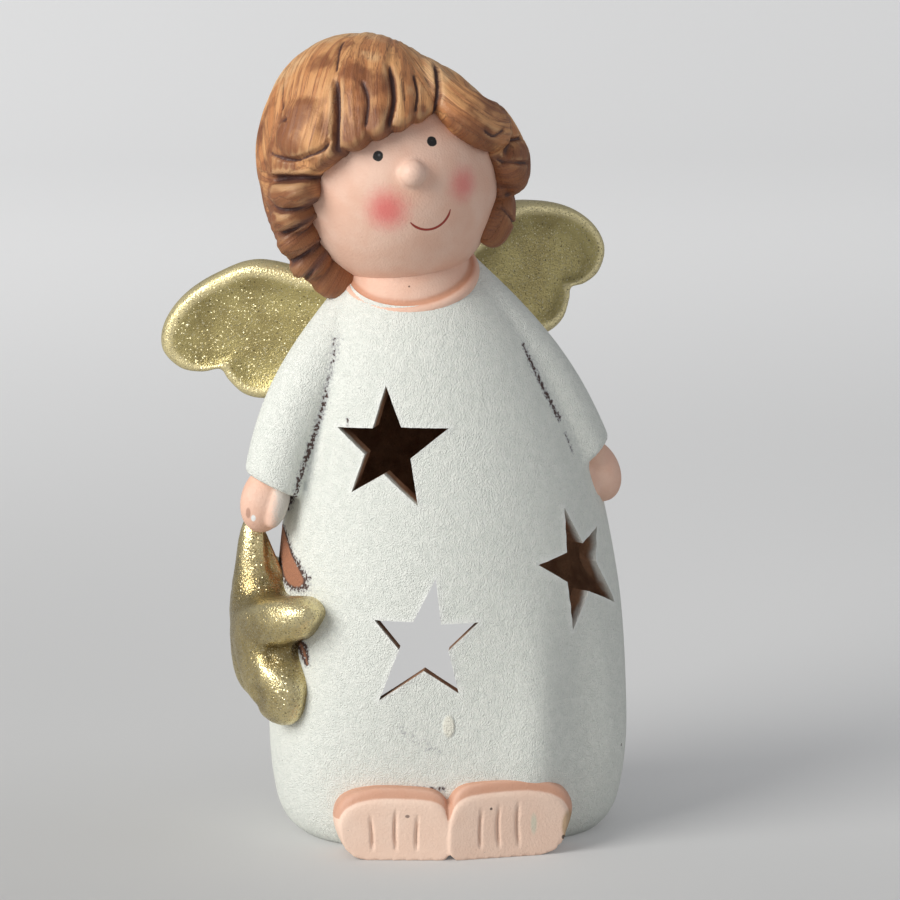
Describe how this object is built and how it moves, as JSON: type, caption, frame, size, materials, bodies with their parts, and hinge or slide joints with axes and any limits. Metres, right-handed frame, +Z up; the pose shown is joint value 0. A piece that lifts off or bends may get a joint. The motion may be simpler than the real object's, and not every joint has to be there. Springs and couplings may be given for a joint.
{
  "type": "angel candle holder",
  "caption": "Hollow earthenware angel in a long robe with star cut-outs; a tea light goes in through an arch at the back and lights the stars.",
  "frame": {"origin": "middle of the flat base, on the surface the figure stands on", "axes": "+Z up through the figure; the figure faces -Y and the candle arch opens towards +Y; +X is to the right of someone who looks at its face"},
  "size_m": [0.1138, 0.0831, 0.1973],
  "materials": {
    "robe_paint": "matt sprayed paint with a fine sandy grain",
    "skin_paint": "satin hand-painted, with rouge on the cheeks",
    "hair_paint": "satin, brown wash over tan in the grooves",
    "gold_paint": "metallic gold paint with glitter",
    "bare_clay": "unglazed fired clay"
  },
  "bodies": {
    "root": {"angel_figure": "robe_paint"}
  },
  "joints": []
}
